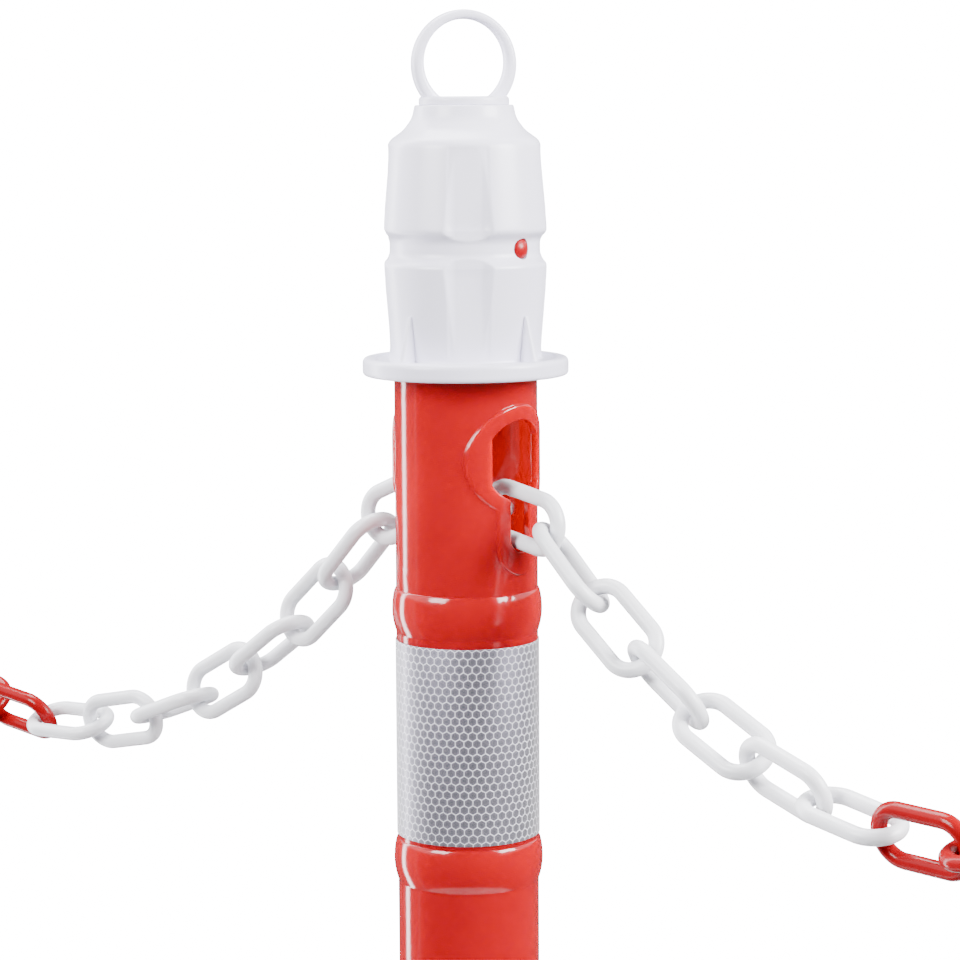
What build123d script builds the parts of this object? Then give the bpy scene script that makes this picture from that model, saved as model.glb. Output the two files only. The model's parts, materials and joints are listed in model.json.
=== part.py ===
"""A chain barrier post: a moulded post in a loose rubber base, a fluted cap with a lifting ring,
and a plastic chain that passes through the post and hangs from its two keyholes.

Millimetres. The floor is z = 0 and +Z is up. The keyholes face +X and -X.
"""

import os
from math import atan, cos, degrees, radians, sin, sqrt

from build123d import *

os.makedirs("parts", exist_ok=True)

# Post: a thin moulded tube. The cap's flange rests on its shoulder and the neck fills the cap.
post_radius = 36.0
post_wall = 3.0
seat_height = 819.0
neck_step = 1.9
neck_headroom = 12.5
foot_reach = 22.0
foot_thickness = 7.0

# Bands of reflective film, each between two moulded rolls that keep it from being rubbed.
band_width = 100.0
band_drops = (134.0, 404.0)
band_thickness = 0.4
band_glue = 0.1
roll_rise = 2.05
roll_height = 22.3
roll_fall = 16.0
roll_brow = 5.0
roll_brow_dip = 0.1
roll_gap = 2.2
roll_gap_above = 4.0

# Keyholes: wide enough above for a link to enter, narrow below to hold it upright.
keyhole_drop = 40.8
keyhole_radius = 20.3
keyhole_width = 33.4
slot_width = 14.0
slot_depth = 45.4
pad_rise = 1.3
pad_margin = 7.6
pad_slot_margin = 7.2
pad_foot = 12.1
pad_bevel = 0.8

# Cap: walls and reaches are measured out from its bore, heights up from the post's shoulder,
# and the crown's drops down from its top.
cap_fit = 0.3
cap_wall = 3.4
flange_reach = 17.3
flange_thickness = 9.2
flange_dish = 0.7
flange_rim = 2.6
flange_bevel = 1.4
body_foot_wall = 3.8
body_lip_wall = 7.8
groove_wall = 3.2
groove_below = 8.1
groove_above = 8.3
groove_bevel = 4.2
shoulder_wall = 3.7
shoulder_drop = 17.9
shoulder_bend_reach = 5.8
shoulder_bend_drop = 12.5
crown_radius = 24.6
crown_flare = 1.4
crown_band = 6.6
crown_height = 134.4
flute_wall = 3.8
flute_width = 15.2
flute_mouth = 44.4
flute_reach = 9.8
gusset_reach = 13.1
gusset_top_reach = 6.9
gusset_width = 3.6
gusset_top_width = 2.4
gusset_height = 31.0
gusset_root = 1.0

# Lifting ring: an eye, thicker below than above, on a disc that sits on the cap's crown.
eye_turn = 60.0
eye_disc_setback = 2.1
eye_disc_thickness = 4.2
eye_inner_radius = 21.1
eye_top = 4.8
eye_root = 7.0
eye_sink = 7.1
eye_depth = 8.4
eye_bevel = 1.6

# Spring catch: two domed buttons on a bent strip inside the neck hold the cap down.
button_radius = 4.9
button_height = 64.0
button_stand = 2.1
button_dome = 2.0
button_crown_radius = 2.6
button_crown_drop = 0.5
button_clearance = 0.3
strip_width = 9.0
strip_thickness = 1.0
strip_above = 9.0
strip_leg = 27.0
strip_gap = 0.1

# Rubber base: an octagonal slab that drops over the post and traps its foot.
base_across = 380.0
base_skirt = 18.0
base_top_across = 236.0
base_shoulder = 44.0
base_collar_wall = 22.6
base_height = 56.0
base_clearance = 3.4
recess_clearance = 1.0
recess_headroom = 0.6
base_edge = 4.0
grip_length = 92.0
grip_width = 30.0
grip_distance = 128.0

# Chain: oval links of round wire, drawn with flat sides and short runs to keep the model light.
# Slopes are degrees below the horizon.
link_length = 57.7
link_width = 33.0
wire = 8.0
wire_sides = 10
bow_runs = 6
slack = 0.5
chain_yaw = 5.5
hook_out = 0.9
rest_gap = 0.3

# Each run leaves its keyhole steeply and flattens by a fixed amount at every link, as a hanging
# chain does. A roll turns a link about its own length, from upright towards +Y.
right_hook_slope = 9.0
right_steepness = 1.027
right_easing = 0.145
right_rolls = (-65, 36, -40, 54, -22, -100, -14, 76)
left_hook_slope = 24.0
left_steepness = 1.273
left_easing = 0.177
left_rolls = (-80, 10, -80, 8, 94, -14, 70, -31, 58)

# Heights and places that follow from the driving dimensions.
keyhole_height = seat_height - keyhole_drop
slot_floor = keyhole_height - slot_depth
pad_face = post_radius + pad_rise
pad_radius = keyhole_radius + pad_margin
pad_slot_width = slot_width + 2 * pad_slot_margin
pad_slot_drop = slot_depth + pad_foot - pad_slot_width / 2
bore_radius = post_radius - post_wall
foot_radius = post_radius + foot_reach
cap_top = seat_height + crown_height
shoulder_height = cap_top - shoulder_drop
neck_radius = post_radius - neck_step
neck_bore = neck_radius - post_wall
neck_top = shoulder_height - neck_headroom
cap_bore = neck_radius + cap_fit
body_foot_radius = cap_bore + body_foot_wall
body_lip_radius = cap_bore + body_lip_wall
groove_radius = cap_bore + groove_wall
flange_radius = cap_bore + flange_reach
flute_floor = cap_bore + flute_wall
flute_lip = cap_bore + flute_reach
crown_foot = cap_top - crown_band
eye_outer_radius = eye_inner_radius + (eye_top + eye_root) / 2
eye_outer_height = cap_top - eye_sink + eye_outer_radius
eye_inner_height = eye_outer_height + (eye_root - eye_top) / 2
button_level = seat_height + button_height
button_hole = button_radius + button_clearance
button_reach = groove_radius + button_stand
base_hole_radius = post_radius + base_clearance
strip_face = sqrt(neck_bore**2 - (strip_width / 2) ** 2) - strip_gap
crown = (link_length - wire) / 2
bow = (link_width - wire) / 2
hook = wire + slack


def finish(part, label):
    """Name a sub-part and write it as its own file."""
    part.label = label
    export_step(part, f"parts/{label}.step")


def upright_plane(turn):
    """The upright plane through the post's axis, with its x pointing out at turn degrees from +X."""
    out = radians(turn)
    return Plane(origin=(0, 0, 0), x_dir=(cos(out), sin(out), 0), z_dir=(sin(out), -cos(out), 0))


def distance_from_axis(edge):
    """How far a point part-way along an edge lies from the post's axis."""
    point = edge @ 0.4
    return sqrt(point.X**2 + point.Y**2)


def nearest(sketch, *places):
    """The sketch's corners that lie nearest to the places."""
    return [sketch.vertices().sort_by_distance(place)[0] for place in places]


# Post tube

roll_bottoms = []
for drop in reversed(band_drops):
    roll_bottoms.append(seat_height - drop - band_width - roll_gap - roll_height)
    roll_bottoms.append(seat_height - drop + roll_gap_above)


def draw_wall(radius, bottom, top):
    """Draw one face of the tube wall upwards: straight runs, with a moulded roll beside each band."""
    start = bottom
    for roll in roll_bottoms:
        end = roll + roll_height
        crest = (radius + roll_rise, end - roll_fall)
        brow = (radius + roll_rise - roll_brow_dip, end - roll_brow)
        Polyline((radius, start), (radius, roll), crest, brow, (radius, end))
        start = end
    Line((radius, start), (radius, top))


with BuildPart() as keyhole_pads:
    with BuildSketch(Plane.YZ):
        with Locations((0, keyhole_height)):
            Circle(pad_radius)
        with Locations((0, keyhole_height - pad_slot_drop)):
            Circle(pad_slot_width / 2)
        with Locations((0, keyhole_height - pad_slot_drop / 2)):
            Rectangle(pad_slot_width, pad_slot_drop)
    extrude(amount=2 * post_radius, both=True)
    with Locations((0, 0, keyhole_height)):
        Cylinder(pad_face, 4 * pad_slot_drop, rotation=(0, 0, 90), mode=Mode.INTERSECT)
        Cylinder(post_radius - post_wall / 2, 4 * pad_slot_drop, rotation=(0, 0, 90), mode=Mode.SUBTRACT)
    rims = keyhole_pads.edges().filter_by(lambda edge: abs(distance_from_axis(edge) - pad_face) < 0.01)
    chamfer(rims, pad_bevel)

with BuildPart() as post_tube:
    with BuildSketch(Plane.YZ):
        with BuildLine():
            Polyline(
                (0, foot_thickness),
                (0, 0),
                (foot_radius, 0),
                (foot_radius, foot_thickness),
                (post_radius, foot_thickness),
            )
            draw_wall(post_radius, foot_thickness, seat_height)
            Polyline(
                (post_radius, seat_height),
                (neck_radius, seat_height),
                (neck_radius, neck_top),
                (neck_bore, neck_top),
                (neck_bore, seat_height),
                (bore_radius, seat_height - post_wall),
                (bore_radius, foot_thickness),
                (0, foot_thickness),
            )
        make_face()
    revolve(axis=Axis.Z)
    add(keyhole_pads.part)
    with BuildSketch(Plane.YZ):
        with Locations((0, keyhole_height)):
            Circle(keyhole_radius)
            Rectangle(keyhole_width, 2 * keyhole_radius, mode=Mode.INTERSECT)
        with Locations((0, slot_floor + slot_width / 2)):
            Circle(slot_width / 2)
        with Locations((0, (keyhole_height + slot_floor + slot_width / 2) / 2)):
            Rectangle(slot_width, slot_depth - slot_width / 2)
    extrude(amount=2 * post_radius, both=True, mode=Mode.SUBTRACT)
    with BuildSketch(Plane.YZ):
        with Locations((0, button_level)):
            Circle(button_hole)
    extrude(amount=2 * post_radius, both=True, mode=Mode.SUBTRACT)

finish(post_tube.part, "post_tube")


# Reflective bands

for place, drop in zip(("upper", "lower"), band_drops):
    with BuildPart() as band:
        with BuildSketch(Plane.XY.offset(seat_height - drop - band_width)):
            Circle(post_radius + band_glue + band_thickness)
            Circle(post_radius + band_glue, mode=Mode.SUBTRACT)
        extrude(amount=band_width)
    finish(band.part, f"{place}_reflective_band")


# Cap

with BuildPart() as cap_shell:
    with BuildSketch(Plane.XZ) as profile:
        groove_foot = (groove_radius, button_level - groove_below + groove_bevel)
        groove_head = (groove_radius, button_level + groove_above - groove_bevel)
        shoulder = (cap_bore + shoulder_wall, shoulder_height)
        shoulder_bend = (crown_radius + shoulder_bend_reach, cap_top - shoulder_bend_drop)
        crown_start = (crown_radius + crown_flare, crown_foot)
        flange_edge = (flange_radius, seat_height + flange_thickness)
        flange_inner = (body_foot_radius, seat_height + flange_thickness - flange_dish)
        lip_low = (body_lip_radius, button_level - groove_below)
        lip_high = (body_lip_radius, button_level + groove_above)
        with BuildLine():
            Polyline(
                (cap_bore, seat_height),
                (flange_radius, seat_height),
                flange_edge,
                (flange_radius - flange_rim, seat_height + flange_thickness),
                (flange_radius - flange_rim - flange_dish, seat_height + flange_thickness - flange_dish),
                flange_inner,
                lip_low,
                groove_foot,
                groove_head,
                lip_high,
                shoulder,
                shoulder_bend,
                crown_start,
                (crown_radius, cap_top),
                (0, cap_top),
                (0, cap_top - cap_wall),
                (crown_radius - cap_wall, cap_top - cap_wall),
                (crown_radius - cap_wall, crown_foot - cap_wall),
                (cap_bore, neck_top + cap_fit),
                (cap_bore, seat_height),
            )
        make_face()
        chamfer(nearest(profile, flange_edge), flange_bevel)
    revolve(axis=Axis.Z)
    with BuildSketch(Plane.XY.offset(seat_height + flange_thickness)):
        with PolarLocations(0, 4, start_angle=45):
            with BuildLine():
                Polyline(
                    (flute_floor, -flute_width / 2),
                    (flute_lip, -flute_mouth / 2),
                    (2 * flute_lip, -flute_mouth / 2),
                    (2 * flute_lip, flute_mouth / 2),
                    (flute_lip, flute_mouth / 2),
                    (flute_floor, flute_width / 2),
                    close=True,
                )
            make_face()
    extrude(amount=crown_height, mode=Mode.SUBTRACT)
    for turn in (0, 90, 180, 270):
        gusset_foot = seat_height + flange_thickness - gusset_root
        foot_plane = Plane.XY.rotated((0, 0, turn)).offset(gusset_foot)
        with BuildSketch(foot_plane):
            with Locations((cap_bore + cap_wall / 2, 0)):
                Rectangle(
                    gusset_reach - cap_wall / 2,
                    gusset_width,
                    align=(Align.MIN, Align.CENTER),
                )
        with BuildSketch(foot_plane.offset(gusset_height - flange_thickness + gusset_root)):
            with Locations((cap_bore + cap_wall / 2, 0)):
                Rectangle(
                    gusset_top_reach - cap_wall / 2,
                    gusset_top_width,
                    align=(Align.MIN, Align.CENTER),
                )
        loft()
    with BuildSketch(Plane.YZ):
        with Locations((0, button_level)):
            Circle(button_hole)
    extrude(amount=2 * post_radius, both=True, mode=Mode.SUBTRACT)

finish(cap_shell.part, "cap_shell")


# Lifting ring

with BuildPart() as lifting_ring:
    with BuildSketch(upright_plane(eye_turn)):
        with Locations((0, eye_outer_height)):
            Circle(eye_outer_radius)
        with Locations((0, eye_inner_height)):
            Circle(eye_inner_radius, mode=Mode.SUBTRACT)
    extrude(amount=eye_depth / 2, both=True)
    chamfer(lifting_ring.edges(), eye_bevel)
    with Locations((0, 0, cap_top)):
        Box(
            4 * eye_outer_radius,
            4 * eye_outer_radius,
            eye_outer_radius,
            align=(Align.CENTER, Align.CENTER, Align.MAX),
            mode=Mode.SUBTRACT,
        )
    with BuildSketch(Plane.XY.offset(cap_top)):
        Circle(crown_radius - eye_disc_setback)
    extrude(amount=eye_disc_thickness)

finish(lifting_ring.part, "lifting_ring")


# Spring catch

with BuildPart() as button_spring:
    with BuildSketch(Plane.XZ):
        strip_middle = strip_face - strip_thickness / 2
        leg_top = button_level + strip_above
        leg_foot = leg_top - strip_leg
        with BuildLine() as strip:
            Line((strip_middle, leg_top), (strip_middle, leg_foot))
            ThreePointArc(
                (strip_middle, leg_foot),
                (0, leg_foot - strip_middle),
                (-strip_middle, leg_foot),
            )
            Line((-strip_middle, leg_foot), (-strip_middle, leg_top))
        trace(line_width=strip_thickness)
    extrude(amount=strip_width / 2, both=True)

finish(button_spring.part, "button_spring")

for place, turn in (("right", 0), ("left", 180)):
    with BuildPart() as button:
        with BuildSketch(upright_plane(turn)):
            back = strip_face + strip_gap
            with BuildLine():
                Polyline(
                    (back, button_level),
                    (back, button_level + button_radius),
                    (button_reach - button_dome, button_level + button_radius),
                    (button_reach - button_crown_drop, button_level + button_crown_radius),
                    (button_reach, button_level),
                    close=True,
                )
            make_face()
        revolve(axis=Axis((0, 0, button_level), (1, 0, 0)))
    finish(button.part, f"lock_button_{place}")


# Rubber base

with BuildPart() as rubber_base:
    with BuildSketch(Plane.XY):
        RegularPolygon(base_across / 2, 8, major_radius=False, rotation=22.5)
    extrude(amount=base_skirt)
    with BuildSketch(Plane.XY.offset(base_skirt)):
        RegularPolygon(base_across / 2 - base_edge, 8, major_radius=False, rotation=22.5)
    with BuildSketch(Plane.XY.offset(base_shoulder)):
        RegularPolygon(base_top_across / 2, 8, major_radius=False, rotation=22.5)
    loft()
    with BuildSketch(Plane.XY):
        Circle(base_hole_radius + base_collar_wall)
    extrude(amount=base_height)
    with BuildSketch(Plane.XY):
        Circle(base_hole_radius)
    extrude(amount=base_height, mode=Mode.SUBTRACT)
    with BuildSketch(Plane.XY):
        Circle(foot_radius + recess_clearance)
    extrude(amount=foot_thickness + recess_headroom, mode=Mode.SUBTRACT)
    with BuildSketch(Plane.XY):
        with Locations((0, grip_distance), (0, -grip_distance)):
            SlotOverall(grip_length, grip_width)
    extrude(amount=base_height, mode=Mode.SUBTRACT)

finish(rubber_base.part, "rubber_base")


# Chain

def heading(side, slope):
    """The way a link points: down from the horizon by slope, away from the post, yawed to -Y."""
    level = cos(radians(slope))
    yaw = radians(chain_yaw)
    return Vector(side * level * cos(yaw), -level * sin(yaw), -sin(radians(slope)))


def breadth(side, slope, roll):
    """The way across a link's width: upright at roll 0, turned towards +Y about its length."""
    yaw = radians(chain_yaw)
    rise = sin(radians(slope))
    upright = Vector(side * rise * cos(yaw), -rise * sin(yaw), cos(radians(slope)))
    level = Vector(side * sin(yaw), cos(yaw), 0)
    return upright * cos(radians(roll)) + level * sin(radians(roll))


def make_link(label, centre, along, across):
    """One oval link: a many-sided wire, mitred along short runs that touch the oval from outside."""
    plane = Plane(origin=centre, x_dir=along, z_dir=along.cross(across))
    bar = crown - bow
    corner = bow / cos(radians(90 / bow_runs))
    corners = []
    for end in (1, -1):
        for step in range(bow_runs):
            turn = radians(90 - 180 * (step + 0.5) / bow_runs)
            corners.append((end * (bar + corner * cos(turn)), end * corner * sin(turn)))
    bar_end = Plane(origin=plane.from_local_coords(corners[-1]), x_dir=across, z_dir=along)
    with BuildPart() as link:
        with BuildLine(plane) as route:
            Polyline(*corners, close=True)
        with BuildSketch(bar_end):
            RegularPolygon(wire / 2, wire_sides, rotation=180 / wire_sides)
        sweep(path=route.wires()[0], transition=Transition.RIGHT)
    finish(link.part, label)


def rest_in_slot(side, slope):
    """A hook link's centre with its lower bar over the slot's outer edge, midway along the bar."""
    edge = slot_floor + rest_gap + wire / 2 / cos(radians(slope))
    return Vector(side * pad_face, 0, edge) + breadth(side, slope, 0) * bow


# The right hook link slides along its own bar until its centre is hook_out beyond the pad.
right_along = heading(1, right_hook_slope)
right_rest = rest_in_slot(1, right_hook_slope)
right_centre = right_rest + right_along * ((pad_face + hook_out - right_rest.X) / right_along.X)
right_bow = right_centre - right_along * (crown - bow)

# The left one slides until one link inside the post, hooked into both inner bows, is drawn tight.
left_along = heading(-1, left_hook_slope)
left_rest = rest_in_slot(-1, left_hook_slope)
span = 2 * (crown + bow - hook)
apart = left_rest - left_along * (crown - bow) - right_bow
reach = apart.dot(left_along)
left_centre = left_rest + left_along * (sqrt(reach**2 - apart.dot(apart) + span**2) - reach)
left_bow = left_centre - left_along * (crown - bow)

middle_along = (right_bow - left_bow).normalized()
middle_across = middle_along.cross(Vector(0, 0, 1)).normalized()
make_link("chain_link_middle", (right_bow + left_bow) * 0.5, middle_along, middle_across)


def hang_run(place, side, centre, hook_slope, steepness, easing, rolls):
    """Hang links from a hook link, each end in the last, along slopes that ease by fixed steps."""
    along = heading(side, hook_slope)
    make_link(f"chain_link_{place}_1", centre, along, breadth(side, hook_slope, 0))
    grip = centre + along * (crown - bow)
    lead = bow - hook + crown
    for number, roll in enumerate(rolls, start=2):
        slope = degrees(atan(steepness - easing * (number - 1)))
        along = heading(side, slope)
        centre = grip + along * lead
        make_link(f"chain_link_{place}_{number}", centre, along, breadth(side, slope, roll))
        grip = centre + along * crown
        lead = crown - hook


hang_run("right", 1, right_centre, right_hook_slope, right_steepness, right_easing, right_rolls)
hang_run("left", -1, left_centre, left_hook_slope, left_steepness, left_easing, left_rolls)
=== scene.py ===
# %% [markdown]
# # A chain barrier post
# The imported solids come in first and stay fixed. Every surface made below is laid over one of
# them, in the same metres and axes: the floor is z = 0, +Z is up, the keyholes face +X and -X.

# %% Load the frame
import json

import bmesh
import bpy
import numpy as np
from mathutils import Matrix


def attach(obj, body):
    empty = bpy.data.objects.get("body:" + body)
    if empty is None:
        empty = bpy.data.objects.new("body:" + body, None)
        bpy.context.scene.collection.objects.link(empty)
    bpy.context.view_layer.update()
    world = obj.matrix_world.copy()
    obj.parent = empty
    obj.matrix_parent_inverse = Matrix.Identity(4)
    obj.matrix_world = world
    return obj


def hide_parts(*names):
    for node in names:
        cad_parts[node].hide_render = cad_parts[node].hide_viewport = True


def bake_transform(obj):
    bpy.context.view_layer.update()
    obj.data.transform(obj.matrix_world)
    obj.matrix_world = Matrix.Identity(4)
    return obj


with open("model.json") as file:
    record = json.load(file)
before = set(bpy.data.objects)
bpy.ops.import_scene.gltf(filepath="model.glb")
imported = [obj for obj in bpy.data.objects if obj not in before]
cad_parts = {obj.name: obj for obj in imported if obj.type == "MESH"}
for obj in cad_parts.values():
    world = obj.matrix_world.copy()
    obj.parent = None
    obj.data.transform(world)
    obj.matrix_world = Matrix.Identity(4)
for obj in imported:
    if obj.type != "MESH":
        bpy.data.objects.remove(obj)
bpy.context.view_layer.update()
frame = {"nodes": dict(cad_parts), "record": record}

# %% [markdown]
# ## From arrays to a mesh
# Each piece is one or more grids of points. A grid could be drawn by hand or lofted from curves,
# but a formula on whole arrays keeps every size in sight. Grids that share a border are welded
# there, which also closes seams and turns rows that shrink to a point into clean poles.

# %% Grids and welding
MM = 0.001
WELD_DISTANCE = 4e-6


def grid_faces(rows, columns):
    """Corner numbers of each cell of a rows x columns grid, whose last column meets its first."""
    row, column = np.meshgrid(np.arange(rows - 1), np.arange(columns), indexing="ij")
    after = (column + 1) % columns
    return np.stack([row * columns + column, row * columns + after,
                     (row + 1) * columns + after, (row + 1) * columns + column], axis=-1)


def sheet_of(points, keep=None):
    """A grid of points (rows, columns, 3) as corners and faces. keep tells which cells stay, for an opening."""
    faces = grid_faces(*points.shape[:2])
    faces = faces.reshape(-1, 4) if keep is None else faces[keep]
    return points.reshape(-1, 3), faces


def weld(name, sheets, crease=38):
    """One mesh object, in metres, from sheets in millimetres: joined, welded, faced outwards, and smooth
    but for edges sharper than the crease, in degrees."""
    starts = np.cumsum([0] + [len(corners) for corners, _ in sheets])
    corners = np.concatenate([c for c, _ in sheets]) * MM
    faces = np.concatenate([f + start for (_, f), start in zip(sheets, starts)])
    mesh = bpy.data.meshes.new(name)
    mesh.from_pydata(corners, [], faces)
    work = bmesh.new()
    work.from_mesh(mesh)
    bmesh.ops.remove_doubles(work, verts=work.verts, dist=WELD_DISTANCE)
    bmesh.ops.recalc_face_normals(work, faces=work.faces)
    open_edges = sum(edge.is_boundary for edge in work.edges)
    work.to_mesh(mesh)
    work.free()
    mesh.polygons.foreach_set("use_smooth", np.ones(len(mesh.polygons), bool))
    mesh.set_sharp_from_angle(angle=np.radians(crease))
    piece = bpy.data.objects.new(name, mesh)
    bpy.context.scene.collection.objects.link(piece)
    print(f"{name}: {len(mesh.vertices)} corners, {len(mesh.polygons)} faces, {open_edges} open edges")
    return piece


# %% Profiles
MOST_OF_RUN, LEAST_STEP = 0.49, 0.05


def soften(profile, samples=7):
    """Rounds the corners of a profile given as (radius, height, cut). At each corner the line leaves
    its straight run at the cut's distance and follows a parabola that has the corner as its handle."""
    points = np.array(profile, float)
    places, cuts = points[:, :2], points[1:-1, 2:3]
    runs = np.diff(places, axis=0)
    lengths = np.linalg.norm(runs, axis=1, keepdims=True)
    ways = runs / lengths
    cuts = np.minimum(cuts, MOST_OF_RUN * np.minimum(lengths[:-1], lengths[1:]))
    start = places[1:-1] - ways[:-1] * cuts
    end = places[1:-1] + ways[1:] * cuts
    t = np.linspace(0, 1, samples)[None, :, None]
    bends = (1 - t) ** 2 * start[:, None] + 2 * t * (1 - t) * places[1:-1, None] + t**2 * end[:, None]
    return np.concatenate([places[:1], bends.reshape(-1, 2), places[-1:]])


def divide(profile, step):
    """Adds points so that no run of a profile is longer than step, by arc length."""
    lengths = np.concatenate([[0], np.cumsum(np.linalg.norm(np.diff(profile, axis=0), axis=1))])
    even = np.linspace(0, lengths[-1], int(np.ceil(lengths[-1] / step)) + 1)
    spots = np.union1d(lengths, even)
    spots = spots[np.concatenate([[True], np.diff(spots) > LEAST_STEP])]
    return np.stack([np.interp(spots, lengths, profile[:, k]) for k in (0, 1)], axis=1)


def turned(rows, columns):
    """Carries a profile of (radius, height) rows round the post's axis: x = r cos, y = r sin."""
    turn = np.arange(columns) * 2 * np.pi / columns
    radius, height = rows[:, :1], rows[:, 1:]
    return np.stack([radius * np.cos(turn), radius * np.sin(turn), height + 0 * turn], axis=-1)


def placed(turn, radius, height):
    """Points from turn, radius and height round the post's axis."""
    return np.stack(np.broadcast_arrays(radius * np.cos(turn), radius * np.sin(turn), height), axis=-1)


def wear(piece, body, node, finish):
    """Puts a finished piece in the frame: it rides on body, stands for node and takes the finish."""
    piece.data.materials.append(finish)
    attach(piece, body)
    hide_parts(node)


corner = soften([(0, 0, 0), (10, 0, 3), (10, 10, 0)], 3)
print("corner of a 10 x 10 profile, rounded by 3:", corner.round(2).tolist())

# %% [markdown]
# ## Shader sums as plain arithmetic
# Finishes are sums on sockets. Placing Math nodes one at a time hides the formula, so a small class
# wraps a socket: + - * on it add Math nodes, and one method adds any other node.

# %% The socket class
class Flow:
    """A socket of a material, with arithmetic on it, or the bare material to start from."""

    def __init__(self, tree, socket=None):
        self.tree = tree
        self.socket = socket

    def node(self, kind, settings=None, sockets=None, out=0):
        """Adds a node: its settings first, then its sockets' values or links. out names its result."""
        made = self.tree.nodes.new(kind)
        for key, value in (settings or {}).items():
            setattr(made, key, value)
        for key, value in (sockets or {}).items():
            if isinstance(value, Flow):
                self.tree.links.new(value.socket, made.inputs[key])
            else:
                made.inputs[key].default_value = value
        return Flow(self.tree, made.outputs[out] if len(made.outputs) else None)

    def sum(self, operation, *terms):
        """A Math node of one operation on the terms, which are sockets or numbers."""
        return self.node("ShaderNodeMath", {"operation": operation}, dict(enumerate(terms)))

    def __add__(self, other):
        return self.sum("ADD", self, other)

    def __sub__(self, other):
        return self.sum("SUBTRACT", self, other)

    def __rsub__(self, other):
        return self.sum("SUBTRACT", other, self)

    def __mul__(self, other):
        return self.sum("MULTIPLY", self, other)

    __radd__ = __add__
    __rmul__ = __mul__

    def ease(self, low, high):
        """Rises smoothly from 0 to 1 while this value goes from low to high."""
        return self.node("ShaderNodeMapRange", {"interpolation_type": "SMOOTHSTEP"},
                         {"Value": self, "From Min": low, "From Max": high}, "Result")

    def grain(self, scale, detail):
        """Noise of a given scale per metre at the places that this socket holds, centred on 0.5."""
        return self.node("ShaderNodeTexNoise", {"noise_dimensions": "3D"},
                         {"Vector": self, "Scale": scale, "Detail": detail})

    def between(self, first, second):
        """The colour that lies this far from the first to the second."""
        return self.node("ShaderNodeMix", {"data_type": "RGBA"}, {0: self, 6: first, 7: second}, 2)


def colour(red, green, blue):
    """A colour as a screen gives it, 0 to 255, turned into light by the screen's standard curve."""
    part = np.array([red, green, blue]) / 255
    light = np.where(part <= 0.04045, part / 12.92, ((part + 0.055) / 1.055) ** 2.4)
    return (*light.tolist(), 1.0)


def new_finish(name):
    """An empty material, and a Flow to build it with."""
    material = bpy.data.materials.new(name)
    material.use_nodes = True
    material.node_tree.nodes.clear()
    return material, Flow(material.node_tree)


def close_finish(flow, bump, depth, sockets):
    """Ends a finish: bump stands depth metres proud, and the sockets go to the surface shader."""
    relief = flow.node("ShaderNodeBump", None, {"Height": bump, "Distance": depth, "Strength": 1.0})
    surface = flow.node("ShaderNodeBsdfPrincipled", None, {"Normal": relief, **sockets})
    flow.node("ShaderNodeOutputMaterial", None, {"Surface": surface})


print("mid grey on screen is", [round(part, 3) for part in colour(128, 128, 128)], "as light")

# %% [markdown]
# ## Moulded plastics
# The tube, cap, chain and buttons are moulded plastic. A flat colour looks like paint on glass, so each
# has slow shifts of shade where the melt cooled unevenly, a gloss that varies a little, and the fine
# ripple of a mould's face. In the thin red tube light also spreads inside the wall, red the furthest,
# and the small red pieces mirror less. Only sizes and strengths differ from one finish to the next.

# %% Plastic finishes
SHADE_GRAIN, CLOUD_GRAIN, PEEL_GRAIN, FINE_PEEL_GRAIN = 9, 70, 420, 1900
CLOUD_SHARE, FINE_PEEL_SHARE = 0.10, 0.35
GLOW_SPREAD, GLOW_DEPTH = (1.0, 0.05, 0.05), 18 * MM


def moulded_plastic(name, light, deep, gloss, ripple, glow=0.0, ior=1.5):
    """Shade = a slow noise between two colours; roughness = gloss + a finer noise; bump = mould ripple,
    in millimetres. glow is the share of light that spreads inside, and ior sets how much is mirrored."""
    material, flow = new_finish(name)
    where = flow.node("ShaderNodeTexCoord", out="Object")
    shade = where.grain(SHADE_GRAIN, 3).ease(0.3, 0.7)
    cloud = where.grain(CLOUD_GRAIN, 3)
    peel = where.grain(PEEL_GRAIN, 2) + FINE_PEEL_SHARE * where.grain(FINE_PEEL_GRAIN, 1)
    close_finish(flow, peel, ripple * MM, {
        "Base Color": shade.between(deep, light),
        "Roughness": gloss + CLOUD_SHARE * (cloud - 0.5),
        "IOR": ior, "Subsurface Weight": glow,
        "Subsurface Radius": GLOW_SPREAD, "Subsurface Scale": GLOW_DEPTH,
    })
    return material


red_tube = moulded_plastic("red_tube_plastic", colour(170, 0, 15), colour(164, 0, 13),
                           gloss=0.12, ripple=0.004, glow=1.0)
white_cap = moulded_plastic("white_cap_plastic", colour(230, 228, 243), colour(225, 223, 239),
                            gloss=0.3, ripple=0.012)
white_chain = moulded_plastic("white_chain_plastic", colour(229, 229, 233), colour(222, 223, 228),
                              gloss=0.33, ripple=0.02)
red_chain = moulded_plastic("red_chain_plastic", colour(138, 0, 11), colour(131, 0, 9),
                            gloss=0.2, ripple=0.004, ior=1.28)
red_button = moulded_plastic("red_button_plastic", colour(156, 0, 18), colour(148, 0, 15),
                             gloss=0.28, ripple=0.004, ior=1.35)
print("plastics:", [m.name for m in (red_tube, white_cap, white_chain, red_chain, red_button)])

# %% [markdown]
# ## Post tube: its wall
# The post is one thin moulded tube: a wide foot that the base traps, four rolls that guard the two
# bands of film, and a neck inside the cap. It could be a solid with parts cut away, but one profile
# turned about the axis gives the whole wall, outside and inside, in one closed sheet.

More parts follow.
